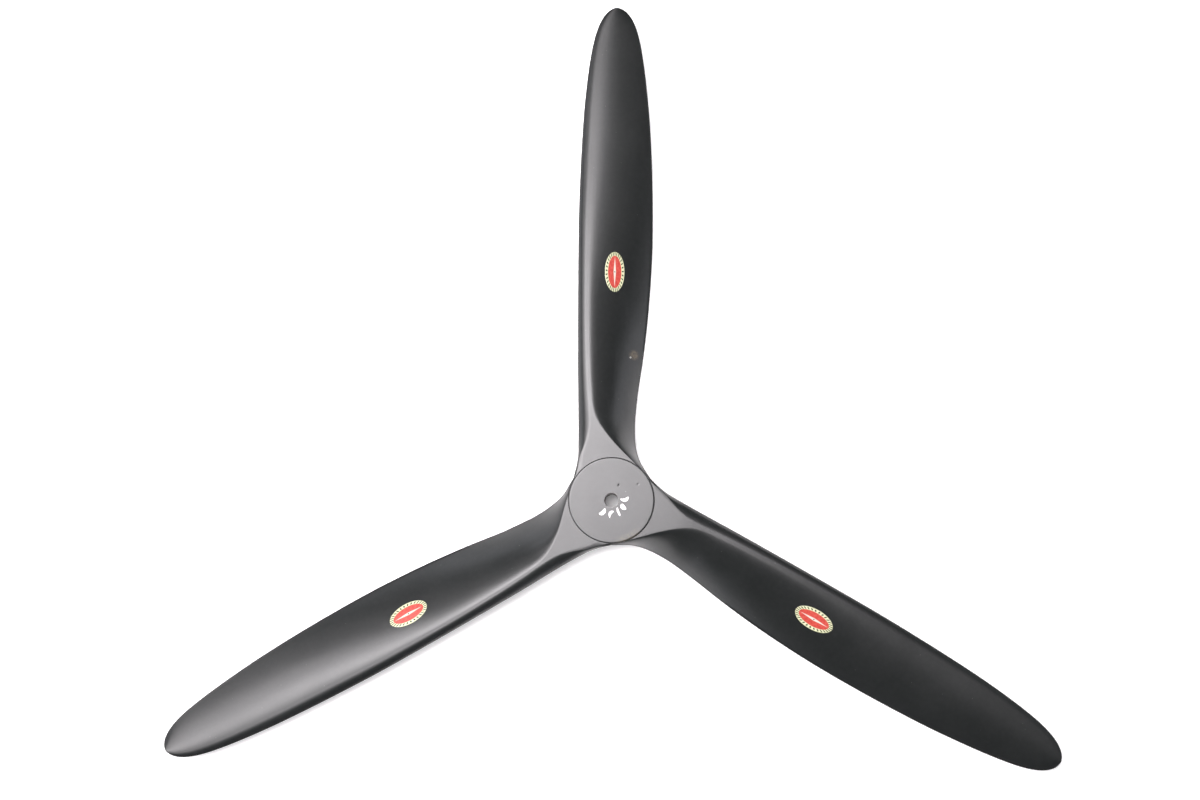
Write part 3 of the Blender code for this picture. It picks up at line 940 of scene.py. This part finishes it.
def bored(nodes, place):
    """1 on the wall of the bore, where the wood is bare, and 0 elsewhere."""
    start, end = BORE_RADIUS + BORE_PAINT[0], BORE_RADIUS + BORE_PAINT[1]
    return nodes.ramp(nodes.from_axis(place), start, end, 1.0, 0.0)


def make_blade_paint(number):
    """Black paint on a blade; the first blade has a chip and a rubbed patch."""
    nodes = Nodes("blade_paint_%d" % (number + 1))
    place = nodes.place()
    colour = paint_surface(nodes, place, BLADE_GRAIN)
    colour = nodes.blend(bored(nodes, place), colour, BARE_WOOD)
    if number == 0:
        ragged = nodes.ramp(nodes.noise(place, WEAR_SCALE, 3.0), 0.30, 0.62, 0.25, 0.85)
        patch = nodes.near(place, PATCH_PLACE, PATCH_RADIUS, PATCH_SOFTNESS)
        rim = nodes.near(place, CHIP_PLACE, CHIP_RIM_RADIUS, CHIP_RIM_SOFTNESS)
        chip = nodes.near(place, CHIP_PLACE, CHIP_RADIUS, CHIP_SOFTNESS)
        front = nodes.facing_front()
        colour = nodes.blend(nodes.product(patch, ragged, front), colour, RUBBED_WOOD)
        colour = nodes.blend(nodes.product(rim, front, CHIP_RIM_COVER), colour, CHIP_RIM)
        colour = nodes.blend(nodes.product(chip, front), colour, CHIP_WHITE)
    nodes.feed(nodes.shader.inputs["Base Color"], colour)
    return nodes.material


def make_disc_paint():
    """The same paint on the hub plates, with bare wood in the bore and a rub on the rim."""
    nodes = Nodes("disc_paint")
    place = nodes.object_place()
    colour = paint_surface(nodes, place, DISC_GRAIN)
    colour = nodes.blend(bored(nodes, place), colour, BARE_WOOD)
    x, y, z = nodes.parts(place)
    angle = nodes.math("ARCTAN2", y, x)
    off = nodes.math("ABSOLUTE", nodes.math("SUBTRACT", angle, RUB_ANGLE))
    arc = nodes.ramp(off, 0.3 * RUB_HALF_ANGLE, RUB_HALF_ANGLE, 1.0, 0.0)
    rim = nodes.ramp(nodes.from_axis(place), DISC_RADIUS - RUB_START, DISC_RADIUS - RUB_FULL)
    ragged = nodes.ramp(nodes.noise(place, WEAR_SCALE, 3.0), 0.35, 0.65, 0.3, 1.0)
    top_only = nodes.ramp(z, DISC_TOP - RUB_DEPTH[0], DISC_TOP - RUB_DEPTH[1])
    colour = nodes.blend(nodes.product(arc, rim, ragged, top_only), colour, RUB_COLOUR)
    nodes.feed(nodes.shader.inputs["Base Color"], colour)
    return nodes.material


def make_sticker_print():
    """Red field with a slender pale lozenge, in a cream border with a ring of green beads."""
    nodes = Nodes("sticker_print")
    place = nodes.place()
    x, y, _ = nodes.parts(place)
    rim_share = nodes.oval_share(x, y, STICKER_HALF_WIDTH, STICKER_HALF_LENGTH)
    field_share = nodes.oval_share(x, y, FIELD_HALF_WIDTH, FIELD_HALF_LENGTH)
    bead_share = nodes.oval_share(x, y, BEAD_HALF_WIDTH, BEAD_HALF_LENGTH)
    uneven = nodes.noise(place, INK_SCALE, 3.0)
    red = nodes.blend(nodes.ramp(uneven, 0.35, 0.65), STICKER_RED, STICKER_RED_DARK)
    far = nodes.math("ABSOLUTE", y)
    aside = nodes.math("ABSOLUTE", x)
    tall = nodes.math("DIVIDE", far, LOZENGE_HALF_LENGTH)
    wide = nodes.math("DIVIDE", aside, LOZENGE_HALF_WIDTH)
    lozenge = nodes.ramp(nodes.math("ADD", tall, wide), *LOZENGE_EDGE, 1.0, 0.0)
    colour = nodes.blend(lozenge, red, STICKER_WHITE)
    start, end = DOT_HALF - DOT_SOFTNESS, DOT_HALF + DOT_SOFTNESS
    dot = nodes.ramp(nodes.math("MAXIMUM", far, aside), start, end, 1.0, 0.0)
    colour = nodes.blend(dot, colour, STICKER_GREEN)
    outside = nodes.ramp(field_share, *FIELD_EDGE)
    colour = nodes.blend(outside, colour, STICKER_CREAM)
    along = nodes.math("DIVIDE", y, BEAD_HALF_LENGTH)
    across = nodes.math("DIVIDE", x, BEAD_HALF_WIDTH)
    wave = nodes.math("SINE", nodes.product(nodes.math("ARCTAN2", along, across), float(BEADS)))
    off = nodes.math("DIVIDE", nodes.math("SUBTRACT", bead_share, 1.0), BEAD_SIZE)
    hollow = nodes.product(off, off, BEAD_SLIMNESS)
    bead = nodes.ramp(nodes.math("SUBTRACT", wave, hollow), *BEAD_EDGE)
    colour = nodes.blend(bead, colour, STICKER_GREEN)
    rim = nodes.ramp(rim_share, *RIM_EDGE)
    colour = nodes.blend(nodes.product(rim, RIM_SHADE), colour, STICKER_GREEN)
    nodes.feed(nodes.shader.inputs["Base Color"], colour)
    sheen = nodes.noise(place, STICKER_SHEEN_SCALE)
    nodes.feed(nodes.shader.inputs["Roughness"], nodes.ramp(sheen, 0.3, 0.7, *STICKER_ROUGHNESS))
    waves = nodes.noise(place, STICKER_WAVE_SCALE)
    nodes.feed(nodes.shader.inputs["Normal"], nodes.bump(waves, STICKER_WAVE_HEIGHT))
    return nodes.material


def make_pen_white():
    """Opaque white paint pen, a little thinner in places."""
    nodes = Nodes("pen_white")
    place = nodes.object_place()
    cover = nodes.ramp(nodes.noise(place, PEN_COVER_SCALE, 3.0), 0.35, 0.6)
    nodes.feed(nodes.shader.inputs["Base Color"], nodes.blend(cover, PEN_WHITE_THIN, PEN_WHITE))
    nodes.shader.inputs["Roughness"].default_value = PEN_ROUGHNESS
    lumps = nodes.noise(place, PEN_LUMP_SCALE, 3.0)
    nodes.feed(nodes.shader.inputs["Normal"], nodes.bump(lumps, PEN_LUMP_HEIGHT))
    return nodes.material


def make_floor():
    nodes = Nodes("floor_white")
    place = nodes.object_place()
    tint = nodes.ramp(nodes.noise(place, FLOOR_TINT_SCALE), 0.3, 0.7)
    colour = nodes.blend(tint, FLOOR_WHITE_DARK, FLOOR_WHITE)
    nodes.feed(nodes.shader.inputs["Base Color"], colour)
    nodes.shader.inputs["Roughness"].default_value = FLOOR_ROUGHNESS
    nodes.shader.inputs["Emission Color"].default_value = (1.0, 1.0, 1.0, 1.0)
    # painted light: the floor glows, and glows less under the hub, which paints the hub's shade
    # there
    glow = nodes.ramp(nodes.from_axis(place), *SHADED_RADIUS, SHADED_GLOW, FLOOR_GLOW)
    nodes.feed(nodes.shader.inputs["Emission Strength"], glow)
    mesh = bpy.data.meshes.new("floor")
    half = FLOOR_HALF
    corners = [(-half, -half, 0.0), (half, -half, 0.0), (half, half, 0.0), (-half, half, 0.0)]
    mesh.from_pydata(corners, [], [(0, 1, 2, 3)])
    mesh.materials.append(nodes.material)
    floor = add_object("floor", mesh)


def add_box(name, place, size, brightness, facing, colour):
    """A soft box that shines one way, as bright all over as the brightness says."""
    light = bpy.data.lights.new(name, "AREA")
    light.shape = "RECTANGLE"
    light.size, light.size_y = size
    light.energy = math.pi * size[0] * size[1] * brightness
    light.color = colour
    lamp = bpy.data.objects.new(name, light)
    lamp.location = place
    lamp.rotation_euler = Vector(facing).to_track_quat("-Z", "Y").to_euler()
    bpy.context.scene.collection.objects.link(lamp)


def make_light():
    down = (0.0, 0.0, -1.0)
    for number, (name, (left, right), (low, high), brightness) in enumerate(CEILING_BOXES):
        place = (0.5 * (left + right), 0.5 * (low + high), CEILING_HEIGHT + number * MM)
        size = (right - left, high - low)
        add_box(name + "_box", place, size, brightness, down, CEILING_COLOUR)
    for degrees, brightness in SIDE_BOXES:
        angle = math.radians(degrees)
        outward = Vector((math.cos(angle), math.sin(angle), 0.0))
        place = outward * SIDE_DISTANCE + Vector((0.0, 0.0, SIDE_HEIGHT))
        add_box("side_box_%d" % degrees, place, SIDE_SIZE, brightness, -outward, SIDE_COLOUR)
    world = bpy.data.worlds.new("studio")
    bpy.context.scene.world = world
    world.use_nodes = True
    tree = world.node_tree
    # the backdrop is seen white and lights nothing: all light comes from the boxes and the floor
    background = tree.nodes["Background"]
    background.inputs["Color"].default_value = (1.0, 1.0, 1.0, 1.0)
    rays = tree.nodes.new("ShaderNodeLightPath")
    tree.links.new(rays.outputs["Is Camera Ray"], background.inputs["Strength"])


def make_camera():
    camera = bpy.data.cameras.new("camera")
    camera.sensor_width = CAMERA_SENSOR
    camera.lens = CAMERA_LENS
    camera.clip_start = CAMERA_NEAREST
    holder = bpy.data.objects.new("camera", camera)
    matrix = Matrix.Translation(CAMERA_PLACE)
    for angle, axis in zip(CAMERA_TURN, "XYZ"):
        matrix = matrix @ Matrix.Rotation(angle, 4, axis)
    holder.matrix_world = matrix
    scene = bpy.context.scene
    scene.collection.objects.link(holder)
    scene.camera = holder
    scene.view_settings.view_transform = "Standard"


make_blades(make_blade_paint)
make_discs(make_disc_paint())
make_stickers(make_sticker_print())
pen_white = make_pen_white()
for dab_number, dab_sizes in enumerate(PEN_DABS):
    make_pen_dab(dab_number, dab_sizes, pen_white)
make_floor()
make_light()
make_camera()
